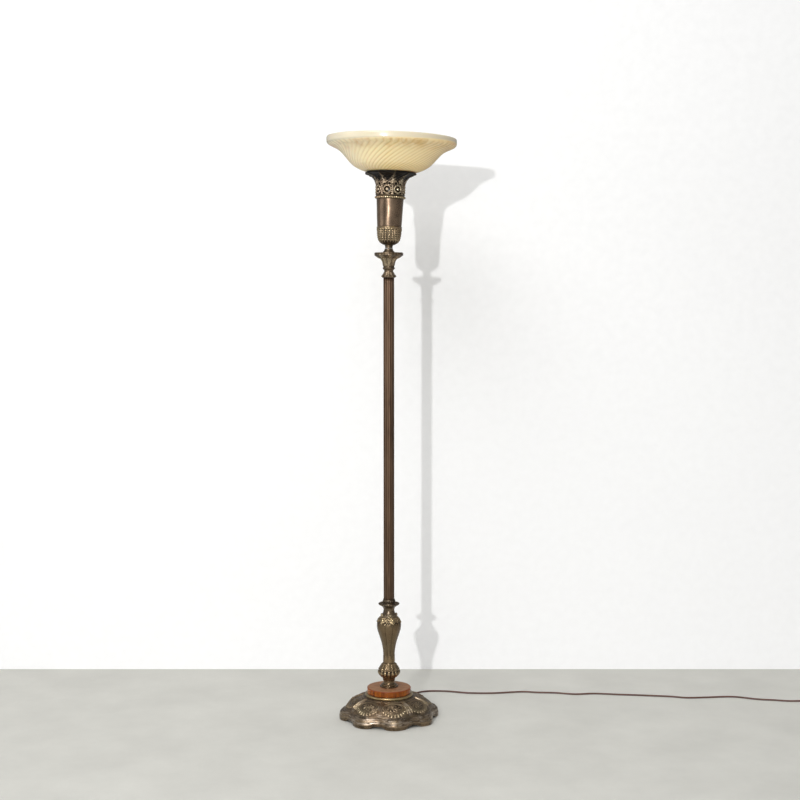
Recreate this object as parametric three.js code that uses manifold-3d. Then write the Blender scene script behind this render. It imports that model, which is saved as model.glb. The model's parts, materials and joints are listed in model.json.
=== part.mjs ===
// A torchiere floor lamp: a lobed brass base, turned and fluted stand, and a ribbed glass bowl.
// Millimetres, +Z up, the origin on the floor under the middle of the stand.
// Angles round the stand are counted from the front (-Y) towards the right (+X).
import * as THREE from 'three';
import { mergeVertices } from 'three/addons/utils/BufferGeometryUtils.js';
import Module from 'manifold-3d';

const wasm = await Module();
wasm.setup();

// Driving dimensions
const GAP = 0.3; // between touching pieces
const PIPE_R = 4.85; // lamp pipe outside
const PIPE_BORE_R = 3.3;
const BORE_R = 5.2; // clearance hole for the pipe
const LEAD_R = 2.2;

const BASE_R = 150; // out to the feet
const LOBES = 8;
const LOBE_TURN = THREE.MathUtils.degToRad(9); // the front foot stands this far to the right
const LOBE_DEPTH = 14; // how far the skirt steps in between two feet
const ARCH_HEIGHT = 8; // under the skirt between two feet
const SKIRT_TOP = 31;
const BEAD_R = 126; // where the lobes fade into the round top

const SEAT_Z = 67;
const DISC_Z = 75;
const DISC_R = 65.3;
const FOOT_Z = 92;
const KNOP_Z = 114;
const VASE_Z = 166;
const CAP_Z = 304;
const DISH_Z = 341; // floor of the dished plate, where the column stands
const COLUMN_R = 15.875; // 1 1/4 in tube
const COLUMN_WALL = 1.5;
const COLUMN_TOP = 1314;
const FLUTES = 12;
const FLUTE_DEPTH = 1;
const BELL_Z = 1345;
const CONE_Z = 1388;
const HEAD_Z = 1400; // the head leans from here
const HEAD_LEAN = THREE.MathUtils.degToRad(1.6);

// Heights in the head, along its own leaning axis from HEAD_Z
const URN_Z = 10;
const SLEEVE_Z = 63;
const RING_Z = 144;
const CROWN_Z = 152;
const CROWN_RIM_R = 75;
const SEAT_PLATE_Z = 217.5;
const GASKET_Z = 219.3;
const SHADE_Z = 221.7;
const SHADE_R = 190.4; // 15 in across
const SHADE_TOP = 320;
const SOCKET_Z = 128;
const INSULATOR_TOP = 160;
const BULB_TOP = 300;
const SWITCH_Z = 172;

const CORD_R = 2.6;
const CORD_ANGLE = THREE.MathUtils.degToRad(166.5); // a gap between two rear feet
const CORD_EXIT_Z = 20;
const BUSHING_END = 166; // from the stand's axis to the tip of the strain relief
const COIL_CENTRE = [1356, 122];
const COIL_R = 31.2; // to the middle of the turns
const COIL_WIDTH = 18.8;
const COIL_HEIGHT = 10.8;
const PLUG_WIDTH = 24;
const PLUG_LENGTH = 28;
const PLUG_HEIGHT = 11;
const PRONG_SPACING = 12.7;

const metal = (color, roughness) => new THREE.MeshStandardMaterial({ color, roughness, metalness: 1 });
const plain = (color, roughness) => new THREE.MeshStandardMaterial({ color, roughness, metalness: 0 });
const agedBrass = metal(0x6e5c40, 0.42);
const copperBrown = metal(0x5b4230, 0.4);
const brightBrass = metal(0xb08d50, 0.3);
const steel = metal(0x8a8a88, 0.45);
const iron = metal(0x3a3836, 0.8);
const amberDisc = plain(0xa85a1c, 0.3);
const creamGlass = plain(0xe6cf96, 0.2);
const porcelain = plain(0xe8e4da, 0.35);
const frostedGlass = plain(0xf4f2ec, 0.5);
const blackRubber = plain(0x1c1a18, 0.7);
const brownCord = plain(0x5a2a1e, 0.55);

const lamp = new THREE.Group();
const head = new THREE.Group();
head.position.z = HEAD_Z;
head.rotation.y = HEAD_LEAN;
lamp.add(head);

function place(group, name, geometry, material) {
  const mesh = new THREE.Mesh(geometry, material);
  mesh.name = name;
  group.add(mesh);
  return mesh;
}

// A profile of [radius, height] pairs turned round Z. It runs up the outside and down the inside, and
// closes on itself unless both its ends are on the axis.
function turned(profile, segments) {
  const points = profile.map(([radius, height]) => new THREE.Vector2(radius, height));
  if (profile[0][0] > 0) points.push(points[0].clone());
  return new THREE.LatheGeometry(points, segments).rotateX(Math.PI / 2);
}

// The outside given, with a straight bore between its ends.
const bored = (outside, bore) => [...outside, [bore, outside.at(-1)[1]], [bore, outside[0][1]]];

// A smooth run of count steps through a few profile points.
function smooth(keys, count) {
  const curve = new THREE.SplineCurve(keys.map(([radius, height]) => new THREE.Vector2(radius, height)));
  return curve.getPoints(count).map((point) => [point.x, point.y]);
}

// A straight pipe or rod round Z.
const pipe = (outer, bore, low, high, segments) => turned(bored([[outer, low], [outer, high]], bore), segments);
const rod = (radius, low, high, segments) => turned([[0, low], [radius, low], [radius, high], [0, high]], segments);

// A hexagon nut with a round bore.
function hexNut(radius, low, high) {
  const section = new THREE.Shape();
  for (let corner = 0; corner < 6; corner += 1) {
    const angle = (corner * Math.PI) / 3;
    const point = [radius * Math.cos(angle), radius * Math.sin(angle)];
    if (corner === 0) section.moveTo(...point);
    else section.lineTo(...point);
  }
  section.holes.push(new THREE.Path().absarc(0, 0, BORE_R, 0, 2 * Math.PI));
  const nut = new THREE.ExtrudeGeometry(section, { depth: high - low, bevelEnabled: false, curveSegments: 12 });
  return nut.translate(0, 0, low);
}

function toManifold(geometry) {
  const bare = geometry.clone();
  bare.deleteAttribute('normal');
  bare.deleteAttribute('uv');
  const merged = mergeVertices(bare, 1e-4);
  const vertProperties = new Float32Array(merged.attributes.position.array);
  const triVerts = new Uint32Array(merged.index.array);
  return new wasm.Manifold(new wasm.Mesh({ numProp: 3, vertProperties, triVerts }));
}

function toGeometry(solid) {
  const mesh = solid.getMesh();
  const geometry = new THREE.BufferGeometry();
  geometry.setAttribute('position', new THREE.BufferAttribute(new Float32Array(mesh.vertProperties), 3));
  geometry.setIndex(new THREE.BufferAttribute(new Uint32Array(mesh.triVerts), 1));
  return geometry;
}

const cut = (body, tool) => toGeometry(toManifold(body).subtract(toManifold(tool)));
const join = (...pieces) => toGeometry(pieces.map(toManifold).reduce((sum, piece) => sum.add(piece)));

// A round section drawn along a curve.
function drawn(curve, radius, sides, steps) {
  const section = new THREE.Shape();
  for (let side = 0; side < sides; side += 1) {
    const angle = (side / sides) * 2 * Math.PI;
    const point = [radius * Math.cos(angle), radius * Math.sin(angle)];
    if (side === 0) section.moveTo(...point);
    else section.lineTo(...point);
  }
  return new THREE.ExtrudeGeometry(section, { steps, extrudePath: curve });
}

// From the stand's axis outwards at an angle round it: a turned piece's own Z becomes that direction.
function facing(geometry, angle, height) {
  geometry.rotateX(Math.PI / 2).rotateZ(angle);
  return geometry.translate(0, 0, height);
}

// Pushes a round turned base into eight feet with arches between them.
function lobed(geometry) {
  const position = geometry.attributes.position;
  for (let index = 0; index < position.count; index += 1) {
    const [x, y, z] = [position.getX(index), position.getY(index), position.getZ(index)];
    const radius = Math.hypot(x, y);
    const wave = Math.cos(LOBES * (Math.atan2(x, -y) - LOBE_TURN)); // 1 on a foot, -1 between feet
    const outer = THREE.MathUtils.smoothstep(radius, BEAD_R, BASE_R - 5);
    const inset = (radius - LOBE_DEPTH * outer * (1 - wave) / 2) / radius;
    const arch = ARCH_HEIGHT * THREE.MathUtils.smoothstep(-wave, -0.2, 1);
    const low = radius > BEAD_R ? Math.max(0, 1 - z / SKIRT_TOP) : 0;
    position.setXYZ(index, x * inset, y * inset, z + arch * low);
  }
  return geometry;
}

function baseShell() {
  const outside = [
    [149, 0], [BASE_R, 8], [148.5, 19], [144.5, 27], [138.5, SKIRT_TOP], [131.5, 32.5], [118, 43.5],
    [105, 53], [76.5, 64], [74, SEAT_Z - GAP],
  ];
  const inside = [
    [BORE_R, SEAT_Z - GAP], [BORE_R, 63.7], [73, 63.7], [104, 49], [118, 38], [131, 28.5], [140, 25.5],
    [147, 12], [141, 0],
  ];
  const shell = lobed(turned([...outside, ...inside], 56));
  const cordHole = facing(rod(5.6, BASE_R - 35, BASE_R + 5, 12), CORD_ANGLE, CORD_EXIT_Z);
  place(lamp, 'base_shell', cut(shell, cordHole), agedBrass);
}

function baseWeight() {
  const outside = [[100, 37.3], [100, 46], [72, 56], [20, 56], [20, 63.4]];
  place(lamp, 'base_weight', turned(bored(outside, BORE_R), 28), iron);
  place(lamp, 'base_washer', pipe(14, BORE_R, 35.4, 37, 20), steel);
  place(lamp, 'base_nut', hexNut(11, 27.4, 35.1), steel);
}

function cordBushing() {
  const outside = [
    [0, 125], [6.2, 125], [6.2, 128.4], [5.1, 128.4], [5.1, 138.8], [7.5, 138.8], [7.5, 141], [5, 143.5],
    [3.6, BUSHING_END], [0, BUSHING_END],
  ];
  place(lamp, 'cord_bushing', facing(turned(outside, 12), CORD_ANGLE, CORD_EXIT_Z), blackRubber);
}

function seatRing() {
  const outside = [[69.5, SEAT_Z], [71.5, SEAT_Z + 2], [71.5, SEAT_Z + 5], [70, DISC_Z - GAP]];
  place(lamp, 'seat_ring', turned(bored(outside, 52), 32), brightBrass);
}

function accentDisc() {
  const low = DISC_Z;
  const high = FOOT_Z - GAP;
  const outside = [[DISC_R - 1, low], [DISC_R, low + 1], [DISC_R, high - 1.5], [DISC_R - 1.5, high]];
  place(lamp, 'accent_disc', turned(bored(outside, BORE_R), 32), amberDisc);
}

function vaseFoot() {
  const outside = [
    [27.5, FOOT_Z], [27.5, 95.5], [25, 97.5], [21, 99.5], [18.8, 102.5], [17.3, 107], [17.5, KNOP_Z - GAP],
  ];
  place(lamp, 'vase_foot', turned(bored(outside, BORE_R), 18), agedBrass);
}

function knop() {
  const high = VASE_Z - GAP;
  const outside = smooth(
    [[17.6, KNOP_Z], [20.5, 120.4], [27, 126.5], [33, 135.7], [33.4, 141.8], [28.5, 154], [19, high]], 9);
  const inside = [[BORE_R, high], [BORE_R, 160], [23, 152], [29, 140], [23, 128], [BORE_R, 118], [BORE_R, KNOP_Z]];
  place(lamp, 'knop', turned([...outside, ...inside], 20), agedBrass);
}

function vaseBody() {
  const high = CAP_Z - GAP;
  const outside = smooth(
    [[17.5, VASE_Z], [17.4, 186], [21.3, 221], [28.3, 245], [34.5, 266], [36.2, 281], [32.1, 297], [26, high]], 12);
  const inside = [
    [BORE_R, high], [BORE_R, 298], [32, 279], [14, 205], [13.5, 171], [BORE_R, 169], [BORE_R, VASE_Z],
  ];
  place(lamp, 'vase_body', turned([...outside, ...inside], 20), agedBrass);
}

function vaseCap() {
  const neck = smooth([[24, CAP_Z], [21.5, 307], [22, 312], [16.1, 324], [19, 333], [31.2, 343]], 9);
  const dish = [[31.2, 345.3], [29.5, 345.3], [23, DISH_Z], [BORE_R, DISH_Z], [BORE_R, CAP_Z]];
  place(lamp, 'vase_cap', turned([...neck, ...dish], 20), agedBrass);
}

function columnCollar() {
  const outside = [
    [20.5, DISH_Z + GAP], [20.5, 344], [17.8, 347], [18.6, 351], [18.6, 355], [17.6, 358],
  ];
  place(lamp, 'column_collar', turned(bored(outside, COLUMN_R + 0.6), 20), brightBrass);
}

// Twelve flat lands with a shallow groove between each two.
function columnTube() {
  const section = new THREE.Shape();
  const pitch = (2 * Math.PI) / FLUTES;
  for (let flute = 0; flute < FLUTES; flute += 1) {
    [[-0.2, COLUMN_R], [0.2, COLUMN_R], [0.38, COLUMN_R - FLUTE_DEPTH], [0.62, COLUMN_R - FLUTE_DEPTH]].forEach(
      ([share, radius], corner) => {
        const angle = (flute + share) * pitch;
        const point = [radius * Math.cos(angle), radius * Math.sin(angle)];
        if (flute === 0 && corner === 0) section.moveTo(...point);
        else section.lineTo(...point);
      });
  }
  const bore = new THREE.Path().absarc(0, 0, COLUMN_R - FLUTE_DEPTH - COLUMN_WALL, 0, 2 * Math.PI);
  section.holes.push(bore);
  const depth = COLUMN_TOP - DISH_Z - 2 * GAP;
  const tube = new THREE.ExtrudeGeometry(section, { depth, bevelEnabled: false, curveSegments: 24 });
  place(lamp, 'column_tube', tube.translate(0, 0, DISH_Z + GAP), copperBrown);
}

function centrePipe() {
  place(lamp, 'center_pipe', pipe(PIPE_R, PIPE_BORE_R, 24, HEAD_Z - 2, 12), steel);
  const plugR = COLUMN_R - FLUTE_DEPTH - COLUMN_WALL - GAP - 0.2;
  place(lamp, 'column_lower_plug', pipe(plugR, BORE_R, 346, 358, 16), steel);
  place(lamp, 'column_upper_plug', pipe(plugR, BORE_R, COLUMN_TOP - 18, COLUMN_TOP - 6, 16), steel);
}

function capital() {
  const neck = [
    [18.5, COLUMN_TOP], [21, 1317], [21, 1320], [17.9, 1322.5], [14, 1328.5], [13.1, 1333], [14.3, 1337],
    [17.5, 1340.5], [17.5, BELL_Z - GAP],
  ];
  place(lamp, 'capital_neck', turned(bored(neck, BORE_R), 18), agedBrass);
  const bell = [
    ...smooth([[16.4, BELL_Z], [17, 1354], [21.2, 1366], [26.1, 1372], [37.6, 1378]], 7),
    [41.5, 1380], [42, 1384], [41, CONE_Z - GAP],
  ];
  place(lamp, 'capital_bell', turned(bored(bell, BORE_R), 24), agedBrass);
  const cone = [[17, CONE_Z], [16, 1391.4], [13.1, 1395], [11.6, HEAD_Z - GAP]];
  place(lamp, 'finial_cone', turned(bored(cone, BORE_R), 18), agedBrass);
}

function headStem() {
  const low = 0.5 + 12 * Math.sin(HEAD_LEAN); // keeps the leaning foot clear of the cone below it
  place(head, 'head_stem', pipe(11.4, BORE_R, low, URN_Z - GAP, 18), agedBrass);
  place(head, 'head_pipe', pipe(PIPE_R, PIPE_BORE_R, 2, SOCKET_Z + 6, 12), steel);
  place(head, 'head_locknut', hexNut(10, 15.4, 20), steel);
}

function urn() {
  const cupTop = SLEEVE_Z - GAP;
  const cup = smooth([[15.4, URN_Z], [28, 18.6], [33.2, 30], [34.9, 42], [35.9, 54], [37.2, 60]], 8);
  const cupInside = [[34, cupTop], [30, 33], [18, 15], [BORE_R, 15], [BORE_R, URN_Z]];
  place(head, 'urn_cup', turned([...cup, [37.2, cupTop], ...cupInside], 24), agedBrass);
  const sleeveTop = RING_Z - GAP;
  const sleeve = [[35.6, SLEEVE_Z], [36.9, 85], [38, 110], [40, sleeveTop], [37.8, sleeveTop], [33.6, SLEEVE_Z]];
  place(head, 'urn_body', turned(sleeve, 28), agedBrass);
  const ring = [[42, RING_Z], [45.1, 146], [45.1, 149.5], [42.5, CROWN_Z - GAP]];
  place(head, 'bead_ring', turned(bored(ring, 38.5), 28), agedBrass);
}

function crown() {
  const rimTop = SEAT_PLATE_Z - GAP;
  const outside = [[41.9, CROWN_Z], [41.6, 170], ...smooth(
    [[43.3, 188], [48.5, 202], [61, 212], [CROWN_RIM_R, 216]], 7), [CROWN_RIM_R, rimTop]];
  const inside = [[67, rimTop], [58, 213.5], [46, 204.5], [41, 188], [39, 170], [39.3, CROWN_Z]];
  const band = turned([...outside, ...inside], 28);
  const shaftHole = facing(rod(3.4, 30, 50, 12), Math.PI, SWITCH_Z);
  place(head, 'crown', cut(band, shaftHole), agedBrass);
  place(head, 'shade_seat_plate', pipe(CROWN_RIM_R, 50, SEAT_PLATE_Z, GASKET_Z - GAP, 28), agedBrass);
  place(head, 'shade_gasket', pipe(70, 56, GASKET_Z, SHADE_Z - GAP, 24), blackRubber);
}

function glassShade() {
  const bowl = smooth(
    [[72, SHADE_Z], [94, 229], [113, 240], [129.5, 257], [145, 274], [159, 285], [178, 294.5], [SHADE_R, 303]], 11);
  const lip = [[SHADE_R, SHADE_TOP - 2], [SHADE_R - 1.5, SHADE_TOP], [185.5, SHADE_TOP], [184, SHADE_TOP - 2]];
  const inside = smooth(
    [[184, 305], [173, 299], [155, 289.5], [140, 277.5], [124, 260], [108, 244.5], [90, 234.5], [70, 228]], 8);
  const hole = [[46, 226.7], [46, SHADE_Z]];
  place(head, 'glass_shade', turned([...bowl, ...lip, ...inside, ...hole], 40), creamGlass);
}

function socket() {
  const cap = [[12, SOCKET_Z], [24, 134], [27, 137], [27, 141]];
  place(head, 'socket_cap', turned(bored(cap, BORE_R), 20), brightBrass);
  place(head, 'socket_shell', pipe(27, 25.5, 141.3, 203, 20), brightBrass);
  place(head, 'socket_insulator', pipe(25, 3, 143, INSULATOR_TOP, 20), porcelain);
  place(head, 'screw_liner', pipe(22, 20.3, INSULATOR_TOP + GAP, 199, 20), brightBrass);
  place(head, 'center_contact', rod(4, INSULATOR_TOP + GAP, 162.5, 12), brightBrass);
}

function bulb() {
  const cap = [
    [6, 166.3], [12, 168], [19.5, 172], [19.5, 196], [18.3, 196], [18.3, 173], [11.5, 169.3], [5.5, 167.8],
  ];
  place(head, 'bulb_cap', turned(cap, 20), brightBrass);
  place(head, 'bulb_contact', rod(5, 162.8, 166, 12), steel);
  const inside = smooth([[0, BULB_TOP - 1], [20, 294.8], [33, 266], [18, 212], [16.4, 176]], 8);
  const outside = smooth([[17.6, 176], [19.2, 212], [34.2, 266], [20.8, 295.8], [0, BULB_TOP]], 9);
  place(head, 'bulb_glass', turned([...inside, ...outside], 20), frostedGlass);
}

function turnSwitch() {
  place(head, 'switch_housing', facing(rod(6, 27.4, 35, 12), Math.PI, SWITCH_Z), blackRubber);
  place(head, 'switch_shaft', facing(rod(2.2, 35.3, 50.2, 10), Math.PI, SWITCH_Z), steel);
  const knob = [[0, 50.5], [2.5, 50.5], [2.5, 46], [6.5, 46], [7.5, 48], [7.5, 56], [6, 58], [0, 58]];
  place(head, 'switch_knob', facing(turned(knob, 12), Math.PI, SWITCH_Z), blackRubber);
}

const outwards = (distance, height) => new THREE.Vector3(
  distance * Math.sin(CORD_ANGLE), -distance * Math.cos(CORD_ANGLE), height);

// One lead: from the bushing under the weight, up the pipe, then up the leaning head.
function innerLead() {
  const route = [[124.7, CORD_EXIT_Z], [100, 18], [60, 10], [30, 6], [12, 8], [2.5, 16], [0, 28], [0, 44]];
  const bend = drawn(new THREE.CatmullRomCurve3(route.map(([d, h]) => outwards(d, h))), LEAD_R, 8, 22);
  const riser = rod(LEAD_R - 0.2, 36, HEAD_Z + 3, 8);
  const leaning = rod(LEAD_R - 0.4, -3, SOCKET_Z + 4, 8).rotateY(HEAD_LEAN).translate(0, 0, HEAD_Z);
  place(lamp, 'inner_lead', join(bend, riser, leaning), brownCord);
}

// The free lead, from the strain relief across the floor to the coil.
function cord() {
  const lie = CORD_R + 0.1;
  const start = outwards(BUSHING_END + GAP, CORD_EXIT_Z);
  const floorRoute = [
    [72, 234], [98, 257], [132, 268], [190, 264], [251, 246], [328, 244], [422, 260], [467, 252], [528, 247],
    [588, 232], [650, 239], [726, 228], [786, 221], [883, 206], [933, 192], [995, 196], [1080, 203], [1150, 176],
    [1200, 166], [1240, 156], [1285, 156],
  ];
  const points = [
    start, outwards(BUSHING_END + 14, 20.5), new THREE.Vector3(50, 206, 12), new THREE.Vector3(59, 221, 5),
    ...floorRoute.map(([x, y]) => new THREE.Vector3(x, y, lie)),
    new THREE.Vector3(COIL_CENTRE[0] - 24, COIL_CENTRE[1] + COIL_R + 5.5, lie),
  ];
  place(lamp, 'cord', drawn(new THREE.CatmullRomCurve3(points), CORD_R, 8, 76), brownCord);
}

function coil() {
  const [inner, outer] = [COIL_R - COIL_WIDTH / 2, COIL_R + COIL_WIDTH / 2];
  const ring = pipe(outer, inner, 0.1, COIL_HEIGHT, 28).translate(...COIL_CENTRE, 0);
  place(lamp, 'cord_coil', ring, brownCord);
}

// Lies flat, its cord end at the coil and its prongs towards -X.
function plug() {
  const outline = new THREE.Shape();
  outline.moveTo(0, -3.5);
  outline.lineTo(-7, -4.5);
  outline.lineTo(-13, -PLUG_WIDTH / 2 + 1);
  outline.lineTo(-PLUG_LENGTH, -PLUG_WIDTH / 2);
  outline.lineTo(-PLUG_LENGTH, PLUG_WIDTH / 2);
  outline.lineTo(-13, PLUG_WIDTH / 2 - 1);
  outline.lineTo(-7, 4.5);
  outline.lineTo(0, 3.5);
  const body = new THREE.ExtrudeGeometry(outline, { depth: PLUG_HEIGHT, bevelEnabled: false });
  const end = [COIL_CENTRE[0] - 23.5, COIL_CENTRE[1] - COIL_R - 5.5];
  place(lamp, 'plug_body', body.translate(...end, 0.2), blackRubber);
  [['plug_prong_left', -1], ['plug_prong_right', 1]].forEach(([name, side]) => {
    const prong = new THREE.BoxGeometry(17, 1.5, 6.3);
    const x = end[0] - PLUG_LENGTH - GAP - 8.5;
    const y = end[1] + side * PRONG_SPACING / 2;
    place(lamp, name, prong.translate(x, y, 0.2 + PLUG_HEIGHT / 2), brightBrass);
  });
}

baseShell();
baseWeight();
cordBushing();
seatRing();
accentDisc();
vaseFoot();
knop();
vaseBody();
vaseCap();
columnCollar();
columnTube();
centrePipe();
capital();
headStem();
urn();
crown();
glassShade();
socket();
bulb();
turnSwitch();
innerLead();
cord();
coil();
plug();

export default lamp;
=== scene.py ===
"""A brass torchiere floor lamp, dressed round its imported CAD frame.

Heights and radii are in millimetres as on a drawing, and turned into metres where a mesh is made.
Angles round the stand are counted from the front (-Y) towards the right (+X).
"""
import json
import math

import bpy
import numpy as np
from mathutils import Matrix, Vector


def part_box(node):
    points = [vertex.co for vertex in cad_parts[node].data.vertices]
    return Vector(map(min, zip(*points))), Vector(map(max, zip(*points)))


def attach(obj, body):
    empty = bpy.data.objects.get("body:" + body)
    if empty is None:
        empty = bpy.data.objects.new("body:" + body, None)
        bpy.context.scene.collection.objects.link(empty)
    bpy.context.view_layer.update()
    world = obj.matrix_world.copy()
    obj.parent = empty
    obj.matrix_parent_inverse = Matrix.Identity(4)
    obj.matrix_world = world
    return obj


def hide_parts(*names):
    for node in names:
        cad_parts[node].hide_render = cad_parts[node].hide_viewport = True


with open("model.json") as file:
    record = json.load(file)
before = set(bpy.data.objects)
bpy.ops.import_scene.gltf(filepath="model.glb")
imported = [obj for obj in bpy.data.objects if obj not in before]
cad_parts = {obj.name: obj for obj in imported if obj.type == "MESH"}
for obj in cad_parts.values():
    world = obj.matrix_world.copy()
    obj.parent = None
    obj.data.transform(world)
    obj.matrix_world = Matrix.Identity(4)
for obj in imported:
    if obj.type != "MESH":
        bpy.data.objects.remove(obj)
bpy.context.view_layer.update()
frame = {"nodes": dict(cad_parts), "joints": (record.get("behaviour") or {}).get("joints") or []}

MM = 0.001
TAU = 2 * math.pi

# The stand's heights, from the frame
SEAT_Z, DISC_Z, FOOT_Z, KNOP_Z, VASE_Z, CAP_Z, COLLAR_Z, BELL_Z, CONE_Z = (
    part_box(name)[0].z / MM for name in (
        "seat_ring", "accent_disc", "vase_foot", "knop", "vase_body", "vase_cap", "column_collar",
        "capital_bell", "finial_cone"))
COLUMN_LOW, COLUMN_HIGH = (corner.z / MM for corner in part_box("column_tube"))
GAP = 0.3  # between a piece and the next one up
HEAD_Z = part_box("finial_cone")[1].z / MM + GAP
BORE_R = 5.2

# The base, column, socket thread and cord
BASE_R = 150
LOBES = 8
LOBE_TURN = math.radians(9)
LOBE_DEPTH = 14
ARCH_HEIGHT = 8
SKIRT_TOP = 31
BEAD_R = 126  # where the lobes begin
BEAD_MID = 129.5
COLUMN_R = 15.875
THREAD_PITCH = 6.35
CORD_R = 2.6
CORD_ANGLE = math.radians(166.5)
CORD_EXIT_Z = 20
WALL_Y = 0.546  # metres

# The head leans along the line on which the shade lifts
lift = Vector(next(j for j in frame["joints"] if j["name"] == "shade_lift")["axis"])
HEAD = Matrix.Translation((0, 0, HEAD_Z * MM)) @ Matrix.Rotation(math.atan2(lift.x, lift.z), 4, "Y")
STAND = Matrix.Identity(4)


def add_object(name, data):
    made = bpy.data.objects.new(name, data)
    bpy.context.scene.collection.objects.link(made)
    return made


# Camera and cord

def add_camera():
    camera = add_object("camera", bpy.data.cameras.new("camera"))
    camera.data.lens = 63.9
    camera.data.sensor_width = 36
    camera.data.clip_end = 50
    camera.location = (0.033, -4.19, 1.254)
    camera.rotation_euler = (math.radians(90 - 4.1), 0, 0)
    bpy.context.scene.camera = camera


def outwards(distance, height):
    return (distance * math.sin(CORD_ANGLE), -distance * math.cos(CORD_ANGLE), height)


def catmull_rom(points, per_span):
    """A smooth curve through the points, with per_span steps between each two."""
    points = np.asarray(points, float)
    ends = np.vstack([2 * points[0] - points[1], points, 2 * points[-1] - points[-2]])
    steps = np.linspace(0, 1, per_span, endpoint=False)[:, None]
    spans = []
    for before, start, end, after in zip(ends, ends[1:], ends[2:], ends[3:]):
        first, second = (end - before) / 2, (after - start) / 2
        spans.append(
            (2 * steps**3 - 3 * steps**2 + 1) * start + (steps**3 - 2 * steps**2 + steps) * first
            + (3 * steps**2 - 2 * steps**3) * end + (steps**3 - steps**2) * second
        )
    return np.vstack(spans + [points[-1:]])


def even(points, spacing):
    """The same line with points an even distance apart."""
    points = np.asarray(points, float)
    along = np.concatenate([[0], np.cumsum(np.linalg.norm(np.diff(points, axis=0), axis=1))])
    count = max(2, int(round(along[-1] / spacing)) + 1)
    where = np.linspace(0, along[-1], count)
    return np.column_stack([np.interp(where, along, points[:, axis]) for axis in range(points.shape[1])])


def cord_route():
    """The lead's centreline: down from the strain relief, across the floor, then into its coil."""
    lie = CORD_R + 0.1
    centre, middle, turns = (1356, 122), 31.2, 2.5
    route = [outwards(166.3, CORD_EXIT_Z), outwards(180, 20.5), (50, 206, 12), (59, 221, 5), (72, 234, lie),
        (98, 257, lie), (132, 268, lie), (190, 264, lie), (251, 246, lie), (328, 244, lie), (422, 260, lie),
        (467, 252, lie), (528, 247, lie), (588, 232, lie), (650, 239, lie), (726, 228, lie), (786, 221, lie),
        (883, 206, lie), (933, 192, lie), (995, 196, lie), (1080, 203, lie), (1150, 176, lie),
        (1200, 166, lie), (1240, 156, lie), (1285, 156, lie), (1322, 159, lie)]
    pitch = 2 * CORD_R + 0.1
    outer = middle + pitch * turns / 2 - 0.3
    per_turn = 24
    inward = int(turns * per_turn)
    climb = per_turn // 4
    for step in range(1, inward + 3 * per_turn + 1):
        turn = step / per_turn
        after = step - inward
        radius, height = outer - pitch * turn, lie  # in along the floor
        if after > 0:  # up a layer, then out again on top of the first
            radius = min(outer - 0.6, outer - pitch * turns + pitch * max(0, after - climb) / per_turn)
            height = lie + (pitch - 0.2) * min(1, after / climb)
        angle = math.pi / 2 - turn * TAU
        route.append((centre[0] + radius * math.cos(angle), centre[1] + radius * math.sin(angle), height))
    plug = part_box("plug_body")
    tail = (plug[1].x / MM, (plug[0].y + plug[1].y) / 2 / MM, (plug[0].z + plug[1].z) / 2 / MM)
    return route + [(tail[0] + 10, tail[1], tail[2] + 1.2), tail]


def add_cord():
    curve = bpy.data.curves.new("cord", "CURVE")
    curve.dimensions = "3D"
    curve.bevel_depth = 1
    curve.bevel_resolution = 4
    curve.use_fill_caps = True
    points = even(catmull_rom(cord_route(), 10), 3.5) * MM
    spline = curve.splines.new("POLY")
    spline.points.add(len(points) - 1)
    spline.points.foreach_set("co", np.column_stack([points, np.ones(len(points))]).ravel())
    spline.points.foreach_set("radius", np.full(len(points), CORD_R * MM))
    spline.use_smooth = True
    cord = add_object("lamp_cord", curve)
    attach(cord, "stand")
    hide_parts("cord", "cord_coil")
    return cord


# Turned meshes with relief

def smooth_run(keys, spacing):
    """Profile points an even distance apart on a smooth curve through the keys."""
    return even(catmull_rom(keys, 16), spacing)


def profile(*runs, spacing=1.0):
    """Joins runs of profile points: arrays are kept as they are, and lists are chains of straight stretches."""
    parts = [run if isinstance(run, np.ndarray) else even(run, spacing) for run in runs]
    kept = [parts[0]]
    for part in parts[1:]:
        same = np.linalg.norm(part[0] - kept[-1][-1]) < 1e-6
        kept.append(part[1:] if same else part)
    return np.vstack(kept)


def dress(piece, material):
    piece.data.materials.clear()
    piece.data.materials.append(material)


def store(mesh, name, values):
    layer = mesh.attributes.new(name, "FLOAT", "POINT")
    layer.data.foreach_set("value", values.astype(np.float32).ravel())


def new_mesh(name, node, material, points, quads, body="stand", place=STAND, relief=None):
    """A smooth-shaded mesh from millimetre points, riding on its body and standing for its CAD node."""
    mesh = bpy.data.meshes.new(name)
    mesh.vertices.add(len(points))
    mesh.vertices.foreach_set("co", (points * MM).astype(np.float32).ravel())
    mesh.loops.add(quads.size)
    mesh.loops.foreach_set("vertex_index", quads.astype(np.int32).ravel())
    mesh.polygons.add(len(quads))
    mesh.polygons.foreach_set("loop_start", np.arange(0, quads.size, 4, dtype=np.int32))
    mesh.polygons.foreach_set("use_smooth", np.ones(len(quads), bool))
    mesh.update(calc_edges=True)
    mesh.validate()
    mesh.transform(place)
    if relief is not None:
        store(mesh, "relief", relief)
    piece = add_object(name, mesh)
    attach(piece, body)
    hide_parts(node)
    dress(piece, material)
    return piece


def paint(piece, name, rule):
    """Stores a share for each vertex, worked out from its place in millimetres, for a material to read."""
    mesh = piece.data
    points = np.empty(len(mesh.vertices) * 3, np.float32)
    mesh.vertices.foreach_get("co", points)
    x, y, z = (points.reshape(-1, 3) / MM).T
    store(mesh, name, rule(x, y, z))


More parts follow.
